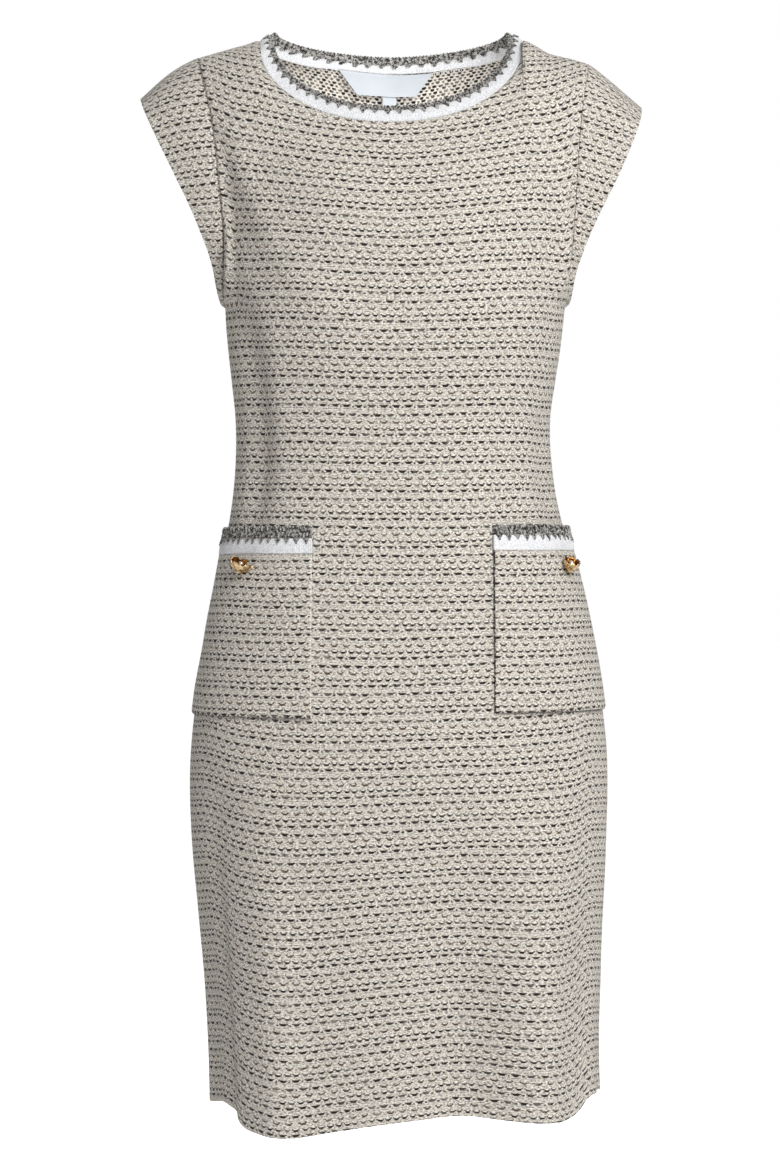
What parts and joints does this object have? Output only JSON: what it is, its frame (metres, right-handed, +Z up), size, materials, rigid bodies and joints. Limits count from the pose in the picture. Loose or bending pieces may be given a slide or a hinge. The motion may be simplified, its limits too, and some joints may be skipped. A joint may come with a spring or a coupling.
{
  "type": "cap-sleeve sheath dress",
  "caption": "Hollow, filled-out cap-sleeve sheath dress in tweed knit, with a round trimmed neck, trimmed patch pockets and petalled gold buttons.",
  "frame": {"origin": "midway between the high points of the shoulders, where the wearer's shoulders hold the dress up", "axes": "+Z up along the length of the dress, +Y towards the back, +X towards the wearer's left"},
  "size_m": [0.4508, 0.2553, 0.965],
  "materials": {
    "tweed_knit": "cream and greige knit with rows of near-black and taupe stitches, matt and slightly hairy",
    "white_rib": "fine white rib knit, matt",
    "grey_edging": "grey marled yarn, crocheted with small picot points, matt",
    "gold_metal": "cast and polished gold-coloured metal",
    "label_satin": "pale blue-white woven satin, bare"
  },
  "bodies": {
    "root": {"front_panel": "tweed_knit", "back_panel": "tweed_knit", "sleeve_right": "tweed_knit", "sleeve_left": "tweed_knit", "neck_band_front": "white_rib", "neck_band_back": "white_rib", "neck_edging_front": "grey_edging", "neck_edging_back": "grey_edging", "pocket_right": "tweed_knit", "pocket_left": "tweed_knit", "pocket_band_right": "white_rib", "pocket_band_left": "white_rib", "pocket_edging_right": "grey_edging", "pocket_edging_left": "grey_edging", "button_right": "gold_metal", "button_left": "gold_metal", "neck_label": "label_satin", "size_tab": "label_satin"}
  },
  "joints": []
}
